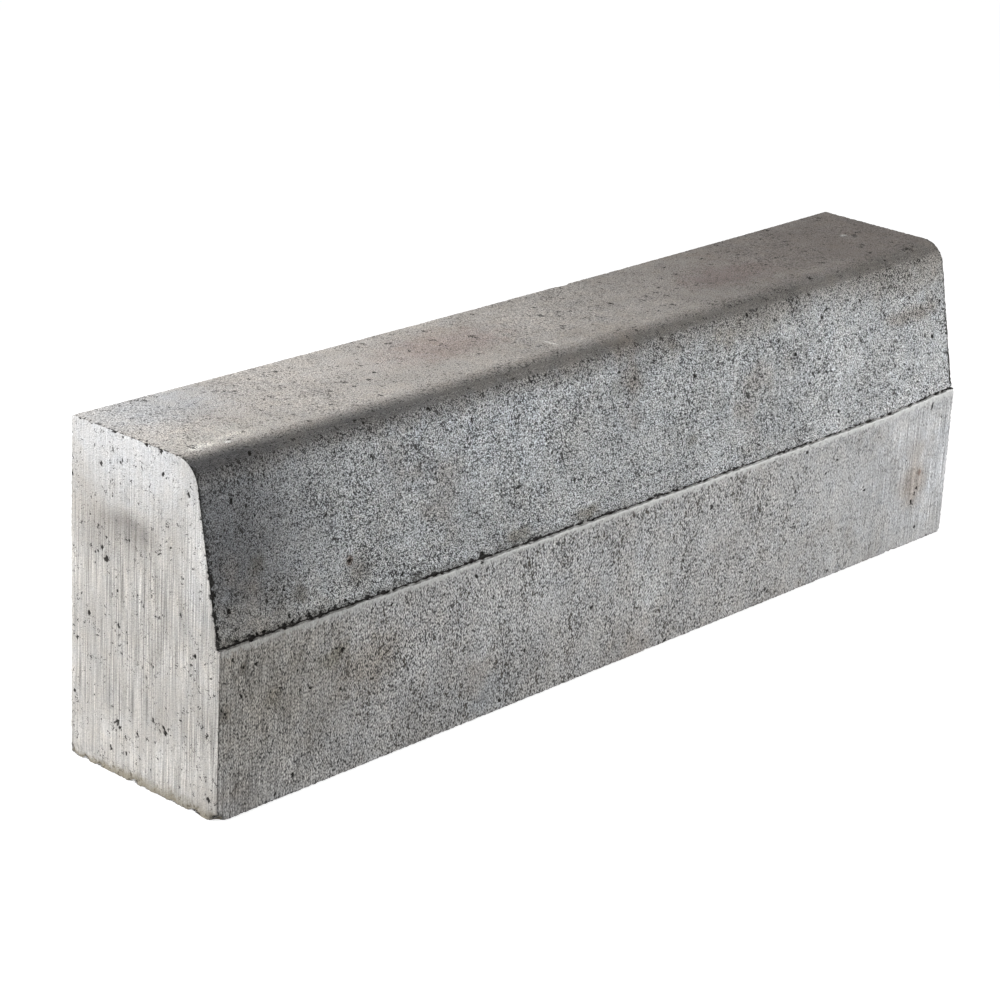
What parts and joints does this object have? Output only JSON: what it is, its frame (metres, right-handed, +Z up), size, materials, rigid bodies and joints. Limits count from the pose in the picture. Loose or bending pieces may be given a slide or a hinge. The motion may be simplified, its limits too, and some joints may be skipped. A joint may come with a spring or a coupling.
{
  "type": "concrete kerb stone",
  "caption": "Straight concrete road kerb with a battered upper face, rounded nose and plumb lower face, standing on its flat bed.",
  "frame": {"origin": "middle of the flat bed, at floor level", "axes": "+X along the kerb's length, -Y towards the road side with the batter, +Z up"},
  "size_m": [1, 0.18, 0.3],
  "materials": {
    "concrete": "machine-pressed grey concrete, matt, open-grained"
  },
  "bodies": {
    "root": {"kerb_stone": "concrete"}
  },
  "joints": []
}
